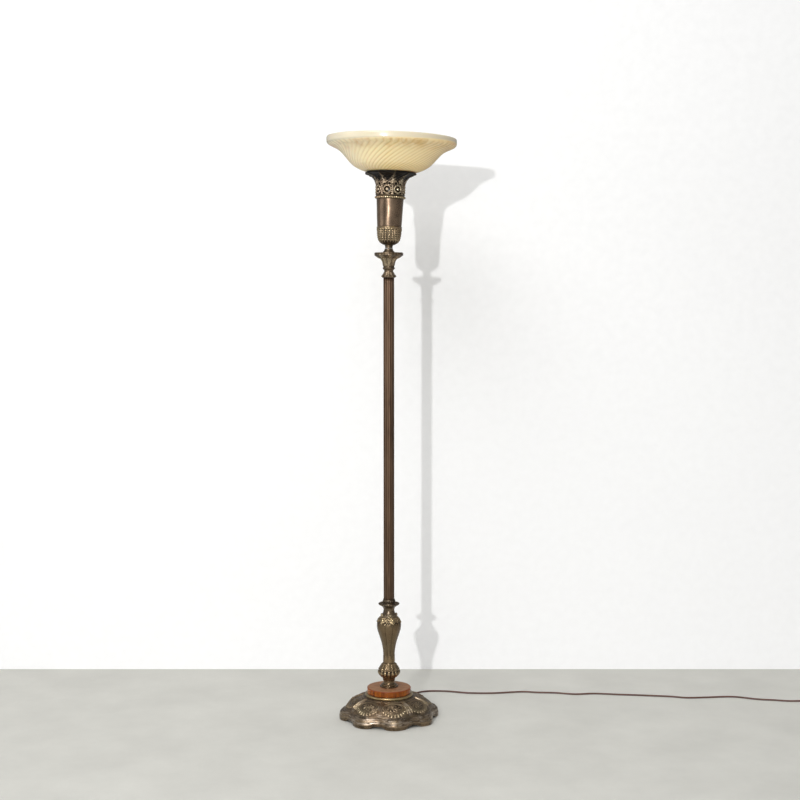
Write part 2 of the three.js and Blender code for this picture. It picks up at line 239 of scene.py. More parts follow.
def ring_quads(around, along):
    """Quads of a grid that closes on itself both ways, facing outwards where the second index runs up."""
    first = np.arange(around)[:, None] * along
    second = np.roll(np.arange(around), -1)[:, None] * along
    here, above = np.arange(along)[None, :], np.roll(np.arange(along), -1)[None, :]
    return np.stack([first + here, second + here, second + above, first + above], axis=-1).reshape(-1, 4)


def relief_ring(name, node, material, outside, inside, around, depth=None, reshape=None, **keywords):
    """Turns a closed profile, its outside run going up and its inside run going down, so many points around.

    depth(angle, radius, height) is how far the outside stands proud, in millimetres along its normal.
    reshape(angle, radius, height) then gives new radii and heights for the whole ring.
    """
    whole = np.vstack([outside, inside])
    along, shown = len(whole), len(outside)
    angle = np.arange(around)[:, None] * TAU / around
    radius = np.repeat(whole[None, :, 0], around, axis=0)
    height = np.repeat(whole[None, :, 1], around, axis=0)
    relief = np.zeros((around, along))
    if depth is not None:
        slope = np.gradient(outside, axis=0)
        normal = np.column_stack([slope[:, 1], -slope[:, 0]])
        normal /= np.linalg.norm(normal, axis=1)[:, None] + 1e-9
        proud = depth(angle, radius[:, :shown], height[:, :shown])
        relief[:, :shown] = proud
        radius[:, :shown] += proud * normal[:, 0]
        height[:, :shown] += proud * normal[:, 1]
    if reshape is not None:
        radius, height = reshape(angle, radius, height)
    points = np.stack([radius * np.sin(angle), -radius * np.cos(angle), height], axis=-1).reshape(-1, 3)
    return new_mesh(name, node, material, points, ring_quads(around, along), relief=relief, **keywords)


def bore(high, low, radius=BORE_R):
    """The inside run of a piece with a straight hole."""
    return np.array([(radius, high), (radius, low)])


# Shapes for relief: each is 1 at its crest

def ridge(distance, width):
    return np.exp(-((distance / width) ** 2))


def bulge(distance, half_width):
    return np.sqrt(np.clip(1 - (distance / half_width) ** 2, 0, 1))


def dome(across, along, half_width, half_length):
    return np.sqrt(np.clip(1 - (across / half_width) ** 2 - (along / half_length) ** 2, 0, 1))


def between(value, low, high):
    """Rises smoothly from 0 at low to 1 at high."""
    share = np.clip((value - low) / (high - low), 0, 1)
    return share * share * (3 - 2 * share)


def band(value, low, full, falling, high):
    """Rises smoothly to 1 from low to full, and sinks back to 0 from falling to high."""
    return between(value, low, full) * between(-value, -high, -falling)


def sector(angle, count, turn=0.0):
    """Where an angle lies in its sector, from -0.5 to 0.5, for so many sectors round."""
    return np.mod((angle - turn) * count / TAU + 0.5, 1) - 0.5


def arc(angle, count, radius, turn=0.0):
    """How far an angle lies from the middle of its sector, in millimetres round that radius."""
    return sector(angle, count, turn) * TAU / count * radius


def leaf(across, along, half_width, lobes=3):
    """A lobed leaf: across is in millimetres from its midrib, along is 0 at its foot and 1 at its tip."""
    inside = np.clip(along, 0, 1)
    scalloped = 1 - 0.22 * np.abs(np.sin(lobes * math.pi * inside))
    outline = np.sin(math.pi * (0.22 + 0.78 * inside)) ** 0.7 * scalloped
    edge = half_width * np.clip(outline, 0.02, 1)
    body = bulge(across, edge)
    veins = 0.18 * np.cos(TAU * (1.6 * lobes * inside + 0.9 * np.abs(across) / half_width))
    midrib = 0.45 * ridge(across, 0.12 * half_width)
    ends = band(along, -0.02, 0.08, 0.9, 1.02)
    return body * (0.75 + veins + midrib) * ends


# Materials

class Nodes:
    """Short hand for building the node tree of a new material, or of another owner such as the world."""

    def __init__(self, name, owner=None):
        self.owner = owner or bpy.data.materials.new(name)
        self.owner.use_nodes = True
        self.tree = self.owner.node_tree

    def add(self, kind, **settings):
        node = self.tree.nodes.new(kind)
        for key, value in settings.items():
            setattr(node, key, value)
        return node

    def link(self, source, target):
        self.tree.links.new(source, target)

    def fill(self, node, **values):
        for key, value in values.items():
            node.inputs[key.replace("_", " ")].default_value = value

    def place(self):
        return self.add("ShaderNodeTexCoord").outputs["Object"]

    def coordinate(self, axis, where=None):
        node = self.add("ShaderNodeSeparateXYZ")
        self.link(where or self.place(), node.inputs[0])
        return node.outputs[axis]

    def stretched(self, scale):
        mapping = self.add("ShaderNodeMapping")
        self.fill(mapping, Scale=scale)
        self.link(self.place(), mapping.inputs["Vector"])
        return mapping.outputs["Vector"]

    def noise(self, scale, detail=4.0, roughness=0.55, where=None, distortion=0.0):
        node = self.add("ShaderNodeTexNoise")
        self.fill(node, Scale=scale, Detail=detail, Roughness=roughness, Distortion=distortion)
        self.link(where or self.place(), node.inputs["Vector"])
        return node.outputs["Fac"]

    def attribute(self, name):
        return self.add("ShaderNodeAttribute", attribute_name=name).outputs["Fac"]

    def ramp(self, value, *stops):
        node = self.add("ShaderNodeValToRGB")
        ramp = node.color_ramp
        while len(ramp.elements) < len(stops):
            ramp.elements.new(0.5)
        for element, (position, color) in zip(ramp.elements, stops):
            element.position = position
            element.color = (*color, 1)
        self.link(value, node.inputs["Fac"])
        return node.outputs["Color"]

    def spread(self, value, low, high, to_low=0.0, to_high=1.0):
        node = self.add("ShaderNodeMapRange")
        self.fill(node, From_Min=low, From_Max=high, To_Min=to_low, To_Max=to_high)
        self.link(value, node.inputs["Value"])
        return node.outputs["Result"]

    def swing(self, value, amount):
        """Turns noise into a push of up to that much either way."""
        return self.spread(value, 0.3, 0.7, -amount, amount)

    def times(self, first, second):
        return self.sum(first, second, "MULTIPLY")

    def sum(self, first, second, kind="ADD"):
        node = self.add("ShaderNodeMath", operation=kind)
        self.link(first, node.inputs[0])
        if isinstance(second, (int, float)):
            node.inputs[1].default_value = second
        else:
            self.link(second, node.inputs[1])
        return node.outputs[0]

    def mix(self, share, first, second, kind="MIX"):
        node = self.add("ShaderNodeMix", data_type="RGBA", blend_type=kind)
        for socket, value in (("Factor", share), ("A", first), ("B", second)):
            target = next(
                i for i in node.inputs if i.name == socket and (socket == "Factor" or i.type == "RGBA"))
            if isinstance(value, (int, float)):
                target.default_value = value
            elif isinstance(value, tuple):
                target.default_value = (*value, 1)
            else:
                self.link(value, target)
        return next(o for o in node.outputs if o.type == "RGBA")

    def bump(self, height, distance, strength=1.0, before=None):
        node = self.add("ShaderNodeBump")
        self.fill(node, Distance=distance, Strength=strength)
        self.link(height, node.inputs["Height"])
        if before is not None:
            self.link(before, node.inputs["Normal"])
        return node.outputs["Normal"]

    def either(self, share, first, second, output):
        """Makes the output show the first shader where the share is 0, and the second where it is 1."""
        node = self.add("ShaderNodeMixShader")
        for source, target in zip((share, first, second), node.inputs):
            self.link(source, target)
        self.link(node.outputs[0], self.tree.nodes[output].inputs["Surface"])

    def finish(self, **inputs):
        for key, value in inputs.items():
            socket = self.tree.nodes["Principled BSDF"].inputs[key.replace("_", " ")]
            if isinstance(value, bpy.types.NodeSocket):
                self.link(value, socket)
            elif isinstance(value, tuple) and len(value) == 3 and socket.type == "RGBA":
                socket.default_value = (*value, 1)
            else:
                socket.default_value = value
        return self.owner


def aged_metal(name, deep, middle, rubbed, low=-0.7, high=2.0, rough=(0.26, 0.46), clouds=0.2, tints=None,
        wear_and_sheen=None, painted_shade_and_patina=None, dents=1.0):
    """Old brass: dark in the hollows, brown between, and rubbed bright where the relief stands proud.

    Two optional vertex attributes change it: one brightens it with rubbed brass and a painted sheen, the other
    blackens it with painted shade and dark patina; dents is how uneven its surface is.
    """
    nodes = Nodes(name)
    cloud = nodes.noise(38, 5, 0.6, None, 0.4)
    grain = nodes.noise(260, 3, 0.5)
    speck = nodes.noise(900, 2, 0.5)
    proud = nodes.spread(nodes.attribute("relief"), low, high)
    worn = nodes.sum(nodes.sum(proud, nodes.swing(cloud, clouds)), nodes.swing(grain, 0.5 * clouds))
    color = nodes.ramp(worn, (0.0, deep), (0.42, middle), (1.0, rubbed))
    first, second = tints or ((1.0, 0.93, 0.84), (0.96, 1.0, 0.92))
    tint = nodes.ramp(nodes.noise(16, 3, 0.5), (0.35, first), (0.65, second))
    color = nodes.mix(1.0, color, tint, "MULTIPLY")
    # Rubbed brass and a painted sheen: pale streaks where the attribute is set
    if wear_and_sheen:
        streaks = nodes.noise(42, 4, 0.65, nodes.stretched((1, 1, 4)), 0.8)
        share = nodes.times(nodes.attribute(wear_and_sheen), nodes.spread(streaks, 0.45, 0.66))
        color = nodes.mix(nodes.times(share, 0.75), color, (0.52, 0.43, 0.34))
    # Painted shade under the glass bowl, together with dark patina: near black, half as strong on the proudest
    # relief
    if painted_shade_and_patina:
        in_hollows = nodes.spread(nodes.attribute("relief"), 0.8, 3.0, 1.0, 0.5)
        color = nodes.mix(nodes.times(nodes.attribute(painted_shade_and_patina), in_hollows), color, (0.007, 0.005, 0.004))
    roughness = nodes.spread(nodes.sum(worn, nodes.swing(speck, 0.2)), 0, 1, rough[1], rough[0])
    normal = nodes.bump(grain, 0.0003, 0.35 * dents, nodes.bump(cloud, 0.0012, 0.2 * dents))
    return nodes.finish(Base_Color=color, Metallic=0.93, Roughness=roughness, Normal=normal, Coat_Weight=0.3,
        Coat_Roughness=0.16)


def brown_patina():
    nodes = Nodes("brown_patina")
    along = nodes.stretched((1, 1, 0.06))
    streak = nodes.noise(190, 4, 0.6, along)
    cloud = nodes.noise(22, 4, 0.55, nodes.stretched((1, 1, 0.35)))
    groove = nodes.spread(nodes.attribute("relief"), -1.6, 0.0)
    worn = nodes.sum(nodes.sum(nodes.swing(streak, 0.25), nodes.swing(cloud, 0.2)), groove)
    color = nodes.ramp(worn, (0.0, (0.03, 0.018, 0.012)), (0.6, (0.112, 0.066, 0.041)),
        (1.0, (0.19, 0.117, 0.074)))
    # The column's colour is darker towards the bottom
    up = nodes.spread(nodes.coordinate("Z"), 0.36, 1.25)
    darker_towards_bottom = nodes.ramp(up, (0.0, (0.72, 0.72, 0.72)), (1.0, (1.0, 1.0, 1.0)))
    color = nodes.mix(1.0, color, darker_towards_bottom, "MULTIPLY")
    roughness = nodes.spread(streak, 0.3, 0.7, 0.36, 0.5)
    normal = nodes.bump(streak, 0.0003, 0.5)
    return nodes.finish(Base_Color=color, Metallic=0.85, Roughness=roughness, Normal=normal)


def amber_wood():
    """Varnished on its edge, worn matt and pinkish on its top."""
    nodes = Nodes("amber_wood")
    grain = nodes.noise(34, 6, 0.7, nodes.stretched((1, 5, 1)), 1.6)
    stripe = nodes.noise(75, 3, 0.5, nodes.stretched((1, 1, 0.12)), 0.6)
    edge = nodes.ramp(stripe, (0.3, (0.09, 0.018, 0.003)), (0.5, (0.24, 0.06, 0.005)),
        (0.74, (0.42, 0.135, 0.01)))
    top = nodes.ramp(grain, (0.34, (0.13, 0.055, 0.028)), (0.5, (0.29, 0.14, 0.07)),
        (0.66, (0.42, 0.23, 0.12)))
    rim = nodes.attribute("rim")
    up = nodes.attribute("top")
    color = nodes.mix(up, edge, top)
    color = nodes.mix(nodes.times(rim, 0.75), color, (0.22, 0.045, 0.018))
    roughness = nodes.spread(up, 0, 1, 0.22, 0.5)
    normal = nodes.bump(grain, 0.0003, 0.4)
    return nodes.finish(
        Base_Color=color, Roughness=roughness, Normal=normal, Specular_IOR_Level=0.22)


def cream_glass():
    """Milky pressed glass, amber in the grooves between its ribs and paler in the lip, with painted light:
    paler on the lit left side and deeper amber on the shaded right.
    """
    nodes = Nodes("cream_glass")
    cloud = nodes.noise(9, 3, 0.5)
    patches = nodes.noise(26, 4, 0.6, nodes.stretched((1, 1, 0.45)), 0.5)
    rib = nodes.spread(nodes.attribute("relief"), -0.5, 0.02)
    color = nodes.mix(rib, (0.79, 0.59, 0.28), (0.92, 0.77, 0.44))
    color = nodes.mix(nodes.spread(cloud, 0.38, 0.62, 0.0, 0.5), color, (0.9, 0.76, 0.45))
    amber = nodes.times(nodes.attribute("amber"), nodes.spread(patches, 0.42, 0.66))
    color = nodes.mix(nodes.times(amber, 0.75), color, (0.66, 0.4, 0.12))
    color = nodes.mix(nodes.times(nodes.attribute("low"), 0.5), color, (0.8, 0.6, 0.24))
    # Painted light: paler where the key light falls on the left, deeper amber on the shaded right
    side = nodes.coordinate("X")
    color = nodes.mix(nodes.spread(side, -0.17, 0.0, 0.55, 0.0), color, (0.98, 0.91, 0.74))
    color = nodes.mix(nodes.spread(side, 0.04, 0.18, 0.0, 0.5), color, (0.9, 0.68, 0.34))
    color = nodes.mix(nodes.times(nodes.attribute("lip"), 0.85), color, (0.68, 0.62, 0.485))
    normal = nodes.bump(nodes.noise(120, 3, 0.5), 0.0003, 0.25)
    return nodes.finish(Base_Color=color, Roughness=0.22, Normal=normal, Subsurface_Weight=0.3,
        Subsurface_Radius=(0.02, 0.014, 0.007), Subsurface_Scale=0.4, Coat_Weight=0.6, Coat_Roughness=0.06,
        IOR=1.5)


def plain_material(name, color, roughness, metallic, scale, depth, vary):
    """One colour with fine clouding, grain and uneven gloss; vary is how far the colour strays either way."""
    nodes = Nodes(name)
    cloud = nodes.noise(scale * 0.15, 4, 0.6)
    grain = nodes.noise(scale, 3, 0.5)
    dark = tuple(value * (1 - vary) for value in color)
    light = tuple(min(1, value * (1 + vary)) for value in color)
    mixed = nodes.ramp(cloud, (0.3, dark), (0.7, light))
    rough = nodes.spread(grain, 0.3, 0.7, roughness * 0.85, min(1, roughness * 1.15))
    return nodes.finish(
        Base_Color=mixed, Roughness=rough, Metallic=metallic, Normal=nodes.bump(grain, depth, 0.6))


# Base

def foot_wave(angle):
    """1 in the middle of a foot and -1 between two feet."""
    return np.cos(LOBES * (angle - LOBE_TURN))


def lobed(angle, radius, height):
    """Pushes the round base into eight feet with arches between them, as its casting is."""
    wave = foot_wave(angle)
    inset = LOBE_DEPTH * between(radius, BEAD_R, BASE_R - 5) * (1 - wave) / 2
    arch = ARCH_HEIGHT * between(-wave, -0.2, 1)
    low = np.where(radius > BEAD_R, np.clip(1 - height / SKIRT_TOP, 0, None), 0)
    return radius - inset, height + arch * low


def base_relief(angle, radius, height):
    half_width, half_length, centre = 33, 19.5, 103.5  # of the medallion on each foot
    across = arc(angle, LOBES, radius, LOBE_TURN) / half_width
    along = (radius - centre) / half_length
    oval, turn = np.hypot(across, along), np.arctan2(across, along)
    rims = 1.25 * ridge(oval - 0.97, 0.06) + 0.9 * ridge(oval - 0.8, 0.04)
    petals = np.abs(np.cos(4.5 * turn + 1.6 * oval)) ** 1.2
    petals = petals * np.sin(math.pi * np.clip(oval / 0.74, 0, 1)) ** 0.8
    curls = 0.7 * np.cos(7 * turn - 15 * oval) * between(-oval, -0.74, -0.5) * between(oval, 0.12, 0.3)
    boss = 1.2 * bulge(oval, 0.22)
    medallion = rims + np.where(oval < 0.76, 0.8 * petals + curls + boss - 0.2, 0)
    gap = arc(angle, LOBES, radius, LOBE_TURN + math.pi / LOBES)
    reach = band(radius, 77, 82, 118, 124)
    outer_spokes = ridge(np.abs(gap) - 5.4 - 0.12 * (radius - 100), 1.5)
    spokes = 2.6 * np.maximum(ridge(gap, 1.5), outer_spokes) * reach
    beads = 24
    bead = arc(turn, beads, np.hypot(38 * np.cos(turn), 23 * np.sin(turn)))
    off_row = (oval - 1.17) * np.hypot(half_length * np.cos(turn), half_width * np.sin(turn))
    pearls = 2.2 * dome(bead, off_row, 4.3, 4.6) * (np.abs(turn) < 1.2)
    cove = -1.2 * ridge(radius - BEAD_MID - 7.6, 1.6)
    collar = 1.0 * ridge(radius - 79, 1.3)
    steps = 0.35 * np.cos(height * TAU / 11) * band(height, 3, 7, 23, 28)
    top = medallion * (radius < 124) + spokes + pearls + cove + collar
    return np.where(radius < BEAD_MID + 12, top, 0) + steps * (radius > 140)


def skirt_wear_and_sheen(x, y, z):
    """Where feet and mops have rubbed the skirt's shoulder and the spokes between the medallions, which are
    also lightened there as a painted sheen.
    """
    radius, angle = np.hypot(x, y), np.arctan2(x, -y)
    shoulder = between(radius, BEAD_MID - 2, BEAD_MID + 6) * between(z, 9, 17)
    gap = arc(angle, LOBES, radius, LOBE_TURN + math.pi / LOBES)
    spokes = 0.9 * between(-np.abs(gap), -9, -6) * between(radius, 80, 90) * between(z, 34, 36)
    return np.maximum(shoulder, spokes)


def add_base(metal):
    skirt = smooth_run(
        [(149, 0), (150, 8), (149.4, 16), (147.4, 22.5), (144, 27.4), (140.5, 30), (137, 30.6)], 1.3)
    top = smooth_run([(137, 30.6), (133, 31.8), (126, 36.8), (118, 43.6), (105, 53), (92, 59), (79, 63.6),
        (74, SEAT_Z - GAP)], 0.75)
    outside = profile(skirt, top)
    inside = profile([(BORE_R, SEAT_Z - GAP), (BORE_R, 63.7), (73, 63.7), (104, 49), (118, 38), (131, 28.5),
        (140, 25.5), (147, 12), (141, 0)], spacing=6)
    base = relief_ring("base_casting", "base_shell", metal, outside, inside, 1152, base_relief, lobed)
    # Pale streaks of rubbing and painted sheen on the skirt's shoulder and the spokes
    paint(base, "wear_and_sheen", skirt_wear_and_sheen)


def add_seat(metal, wood):
    ring = profile(smooth_run([(69.5, SEAT_Z), (71.2, SEAT_Z + 1.4), (71.6, SEAT_Z + 3.6), (71, SEAT_Z + 6),
        (69, SEAT_Z + 7.3)], 0.5), [(69, SEAT_Z + 7.3), (67, DISC_Z - GAP), (52, DISC_Z - GAP)])
    relief_ring("brass_seat_ring", "seat_ring", metal, ring, bore(DISC_Z - 3, SEAT_Z, 52), 192)
    low, high = DISC_Z, FOOT_Z - GAP
    edge = profile(smooth_run([(64.2, low), (65.1, low + 0.8), (65.3, low + 3), (65.3, high - 3),
        (64.9, high - 0.8), (63.6, high)], 0.5), [(63.6, high), (BORE_R, high)], spacing=3)
    disc = relief_ring("varnished_disc", "accent_disc", wood, edge, bore(low + 5, low), 192)
    paint(
        disc, "top",
        lambda x, y, z: between(z, high - 0.6, high - 0.1) * between(-np.hypot(x, y), -65, -63.5))
    paint(disc, "rim", lambda x, y, z: ridge(np.hypot(x, y) - 64.8, 1.1) * between(z, high - 3.2, high - 1.6))


# Baluster

def add_foot(metal):
    top = KNOP_Z - GAP
    outside = profile(smooth_run(
        [(26.4, FOOT_Z), (27.5, 93.6), (27.1, 95.2), (24.5, 96.2), (22.2, 97.6), (22.4, 99.4), (21.6, 100.8),
         (19.4, 101.6), (17.6, 104), (17.1, 108), (17.3, 111.5), (18.1, 112.6), (17.5, top)], 0.4))
    inside = bore(top, FOOT_Z)

    def beading(angle, radius, height):
        across = arc(angle, 44, radius)
        return 0.7 * dome(across, height - 99.2, 1.5, 1.3)

    relief_ring("baluster_foot", "vase_foot", metal, outside, inside, 264, beading)


def knop_relief(angle, radius, height):
    eggs = 16
    egg = arc(angle, eggs, radius)
    low = dome(egg, height - 134, 5.0, 11.5)
    cord_line = 0.8 * ridge(height - 147, 1.0)
    leaves = 8
    across = arc(angle, leaves, radius)
    hanging = leaf(across, (164 - height) / 19, 10.5)
    across = arc(angle, leaves, radius, math.pi / leaves)
    under = 0.7 * leaf(across, (162 - height) / 14, 7)
    pits = -0.7 * band(height, 147, 149.5, 158, 162)
    field = 1.5 * band(height, 124, 128, 142, 146)
    return 3.1 * low - field + cord_line + pits + 1.7 * np.maximum(hanging, under)


def add_knop(metal):
    top = VASE_Z - GAP
    outside = smooth_run(
        [(17.6, KNOP_Z), (19.2, 118.5), (22.6, 123.5), (27.3, 128), (31.2, 133), (32.2, 138), (31.4, 143),
         (29.2, 148), (26.4, 153.5), (22.8, 158.6), (19.4, 163), (18.6, top)], 0.45)
    inside = np.array([(BORE_R, top), (BORE_R, 160), (23, 152), (28, 140), (22, 128), (BORE_R, 118),
        (BORE_R, KNOP_Z)])
    relief_ring("gadrooned_knop", "knop", metal, outside, inside, 320, knop_relief)


def vase_relief(angle, radius, height):
    panels = 10
    panel = arc(angle, panels, radius)
    half = math.pi * radius / panels
    fade = band(height, 172, 190, 272, 287)
    grooves = -0.4 * ridge(np.abs(panel) - half, 1.7) * fade
    cuffs = 8
    across = arc(angle, cuffs, radius, 0.2)
    low_leaves = 0.55 * leaf(across, (height - 168) / 22, 6.2)
    collar = 6
    big = arc(angle, collar, radius, 0.35)
    small = arc(angle, collar, radius, 0.35 + math.pi / collar)
    curl = leaf(big, (306 - height) / 20, 14, 3)
    fill = 0.8 * leaf(small, (305 - height) / 15, 10, 2)
    pits = -1.0 * band(height, 287, 291, 298, 302)
    leaves = np.maximum(curl, fill)
    scroll = 0.6 * np.cos(sector(angle, 24) * TAU) * np.cos((height - 292) * TAU / 9)
    scroll = scroll * between(height, 284, 289)
    return grooves + low_leaves + 2.0 * leaves + pits * (leaves < 0.2) + scroll


def add_vase(metal):
    top = CAP_Z - GAP
    outside = smooth_run([(17.5, VASE_Z), (17.3, 172), (17.2, 186), (18.2, 203), (21.1, 221), (24.8, 235),
        (28.6, 246.5), (32.4, 258), (35.2, 269), (36.2, 279), (35.2, 288), (32.3, 295), (28.6, 300),
        (25, top)], 0.6)
    inside = np.array(
        [(BORE_R, top), (BORE_R, 298), (30, 279), (14, 205), (13, 171), (BORE_R, 169), (BORE_R, VASE_Z)])
    relief_ring("leafed_vase", "vase_body", metal, outside, inside, 352, vase_relief)


def cap_relief(angle, radius, height):
    tips = 4
    across = arc(angle, tips, radius, math.radians(-80))
    clump = leaf(across, (height - 301) / 15, 10, 3) + 0.9 * dome(across, height - 310.5, 5.5, 4)
    between_tips = arc(angle, tips, radius, math.radians(-35))
    low = 0.35 * leaf(between_tips, (height - 303) / 9, 7, 2)
    pearl = 1.0 * dome(np.abs(across) - 8.5, height - 309, 1.8, 1.8)
    rim = 0.35 * np.cos(24 * angle) * between(height, 338, 342)
    return 2.8 * clump * between(-height, -317, -313) + 2.0 * low + pearl + rim


def add_cap(metal):
    plate_rim = 345.3
    outside = profile(smooth_run([(23, CAP_Z), (20.6, 306.5), (19.6, 312), (17.6, 318), (16.2, 324),
        (16.6, 329), (18.4, 333), (22.4, 337), (27.4, 340), (30.6, 342.4), (31.2, 344.2), (30.6, plate_rim)],
        0.5), smooth_run([(30.6, plate_rim), (29, 345), (26.5, 343), (23, 341.2), (21, 341)], 0.6),
        [(21, 341), (BORE_R, 341)], spacing=2)
    relief_ring("leaf_cap_and_dish", "vase_cap", metal, outside, bore(338, CAP_Z), 320, cap_relief)


def add_collar(metal):
    low = COLLAR_Z
    outside = smooth_run([(20.3, low), (20.5, low + 1.6), (18.6, low + 3), (17.6, low + 5.4),
        (18.2, low + 7.4), (18.6, low + 9.6), (18.5, low + 12.4), (17.6, low + 14), (17.2, low + 16.7)], 0.4)
    inside = bore(low + 16.7, low, 16.5)

    def notches(angle, radius, height):
        return 0.5 * np.cos(20 * angle) * band(height, low + 8, low + 9.5, low + 12, low + 13.5)

    relief_ring("column_foot_ring", "column_collar", metal, outside, inside, 240, notches)


# Column and capital

def add_column(metal):
    outside = profile([(COLUMN_R, COLUMN_LOW), (COLUMN_R, COLUMN_HIGH)], spacing=25)
    inside = bore(COLUMN_HIGH, COLUMN_LOW, 13.1)

    def flutes(angle, radius, height):
        share = np.abs(sector(angle, 14))
        return -0.8 * bulge(share, 0.36) + 0 * radius

    relief_ring("fluted_column", "column_tube", metal, outside, inside, 336, flutes)


def add_capital(metal):
    low, top = COLUMN_HIGH + GAP, BELL_Z - GAP
    neck = smooth_run([(18.3, low), (19.8, low + 1.6), (21, low + 3.6), (20.4, low + 5.6), (18, low + 8.2),
        (15.6, low + 12), (13.8, low + 16), (13.2, low + 19.5), (13.9, low + 22.5), (16.2, low + 25),
        (17.6, low + 27), (17.5, low + 29.2), (16.4, top)], 0.45)

    def neck_leaves(angle, radius, height):
        across = arc(angle, 12, radius)
        cup = 0.9 * leaf(across, (low + 17 - height) / 15, 4.6, 2)
        ring = 0.4 * np.cos(28 * angle) * ridge(height - low - 27.5, 1.6)
        return cup + ring

    relief_ring("capital_ring", "capital_neck", metal, neck, bore(top, low), 288, neck_leaves)

    high = CONE_Z - GAP
    bell = profile(smooth_run([(16.2, BELL_Z), (15.9, 1349), (16.2, 1354), (17.2, 1360), (19.6, 1366),
        (23.6, 1370.6), (29, 1374.2), (34.6, 1376.8), (39.6, 1379)], 0.5),
        smooth_run([(39.6, 1379), (41.4, 1380.2), (41.7, 1382), (40.7, 1383.3)], 0.4),
        smooth_run([(40.7, 1383.3), (41.8, 1384.6), (41.7, 1386.6), (40.4, high)], 0.4),
        [(40.4, high), (BORE_R, high)], spacing=2)

    def bell_leaves(angle, radius, height):
        leaves = 8
        share = np.abs(sector(angle, leaves, 0.1))
        across = arc(angle, leaves, radius, 0.1)
        climb = band(height, 1346, 1352, 1374, 1380)
        rib = 1.2 * bulge(share, 0.46) + 0.8 * ridge(across, 0.9)
        veins = 0.4 * np.cos(share * TAU * 3.5) * between(height, 1354, 1362)
        tip = 1.3 * dome(share, height - 1377, 0.24, 5)
        scallops = 0.55 * np.abs(np.cos(14 * angle)) * band(height, 1379.5, 1380.5, 1386.5, 1387.3)
        return (rib + veins) * climb + tip + scallops * (radius > 39)

    relief_ring("leafed_capital", "capital_bell", metal, bell, bore(high - 4, BELL_Z), 352, bell_leaves)

    cone = smooth_run(
        [(17, CONE_Z), (17.2, CONE_Z + 1.2), (16, CONE_Z + 3), (14, CONE_Z + 5.4), (12.4, CONE_Z + 8.4),
         (11.7, HEAD_Z - GAP)], 0.4)
    relief_ring("capital_cone", "finial_cone", metal, cone, bore(HEAD_Z - GAP, CONE_Z), 160)


# Head, along its own leaning axis

def height_on_head(along):
    """The height above the floor of a place so far along the head's axis."""
    return (HEAD @ Vector((0, 0, along * MM))).z / MM


def add_stem(metal):
    stem = smooth_run([(11.4, 0.9), (11.2, 3), (10.9, 5), (11.4, 6.6), (12.2, 7.4), (12.4, 8.6), (11.6, 9.7)],
        0.35)
    relief_ring("urn_stem", "head_stem", metal, stem, bore(9.7, 0.9), 160, place=HEAD)


def cup_relief(angle, radius, height):
    panels = 20
    share = np.abs(sector(angle, panels))
    across = arc(angle, panels, radius)
    half = math.pi * radius / panels
    tall = band(height, 12, 20, 52, 57)
    border = 1.5 * ridge(share - 0.5, 0.13) * tall
    dots = np.zeros_like(height)
    for level in (24, 30.5, 37, 43.5, 50):
        dots += 1.9 * dome(across, height - level, 0.42 * half + 0.6, 2.9)
    arch_top = 53.5 + 3.4 * bulge(share, 0.5)
    scallop = 1.5 * ridge(height - arch_top, 1.0)
    ring = 0.9 * ridge(height - 60.5, 1.1)
    return border + dots + scallop + ring - 0.55 * tall


def add_urn(metal, chased):
    top = 62.7
    cup = smooth_run([(15.4, 10), (19, 11.4), (24.4, 15), (28.4, 19.4), (31.4, 25), (33.2, 31.5), (34.4, 39),
        (35, 47), (35.4, 54), (36.2, 58), (36.8, 60.4), (36.4, top)], 0.5)
    inside = np.array([(34, top), (30, 33), (18, 15), (BORE_R, 15), (BORE_R, 10)])
    relief_ring("leafed_cup", "urn_cup", chased, cup, inside, 480, cup_relief, place=HEAD)

    sleeve = smooth_run([(35.6, 63), (36, 69), (36.9, 85), (37.7, 103), (38.7, 125), (39.8, 143.7)], 1.5)

    def dents(angle, radius, height):
        return 0.12 * np.sin(3 * angle + height / 17) + 0.08 * np.sin(5 * angle - height / 9)

    inside = np.array([(37.6, 143.7), (33.6, 63)])
    relief_ring("urn_sleeve", "urn_body", metal, sleeve, inside, 240, dents, place=HEAD)

    ring = smooth_run([(40.6, 144), (42.6, 145.2), (43.6, 147.2), (43.4, 149.4), (42.2, 151.1),
        (41.4, 151.7)], 0.35)

    def pearls(angle, radius, height):
        across = arc(angle, 40, radius)
        return 1.7 * dome(across, height - 147.6, 2.9, 2.9)

    relief_ring("urn_beading", "bead_ring", chased, ring, bore(151.7, 144, 38.5), 400, pearls, place=HEAD)


def crown_relief(angle, radius, height):
    roses = 8
    turn = math.radians(-13)
    across = arc(angle, roses, radius, turn)
    up = height - 170
    away = np.hypot(across, up)
    around_rose = np.arctan2(across, up)
    boss = 3.4 * bulge(away, 4.8)
    collar = 2.9 * ridge(away - 10.8, 2.4) * (0.85 + 0.25 * np.cos(8 * around_rose))
    side = arc(angle, roses, radius, turn + math.pi / roses)
    stem = 1.6 * leaf(side, (height - 153) / 36, 7.5, 4)
    hook = 1.5 * ridge(np.hypot(np.abs(side) - 9, height - 186) - 5, 1.4)
    low = 1.0 * ridge(height - 155, 1.0)
    tall = 10
    leaf_across = arc(angle, tall, radius, 0.16)
    flare = 2.2 * leaf(leaf_across, (height - 184) / 34, 13, 4) * between(height, 184, 189)
    crinkle = np.cos(22 * angle + (height - 190) / 3) * np.cos((height - 190) * TAU / 7)
    flare = flare + 1.1 * crinkle * band(height, 189, 194, 209, 213)
    pit = -3.0 * band(height, 156, 160, 187, 192)
    hook = hook * between(-height, -196, -192)
    pattern = np.maximum.reduce([boss, collar, stem, hook, np.maximum(flare, 0)])
    return low + pattern + pit * (1 - np.clip(pattern, 0, 1))


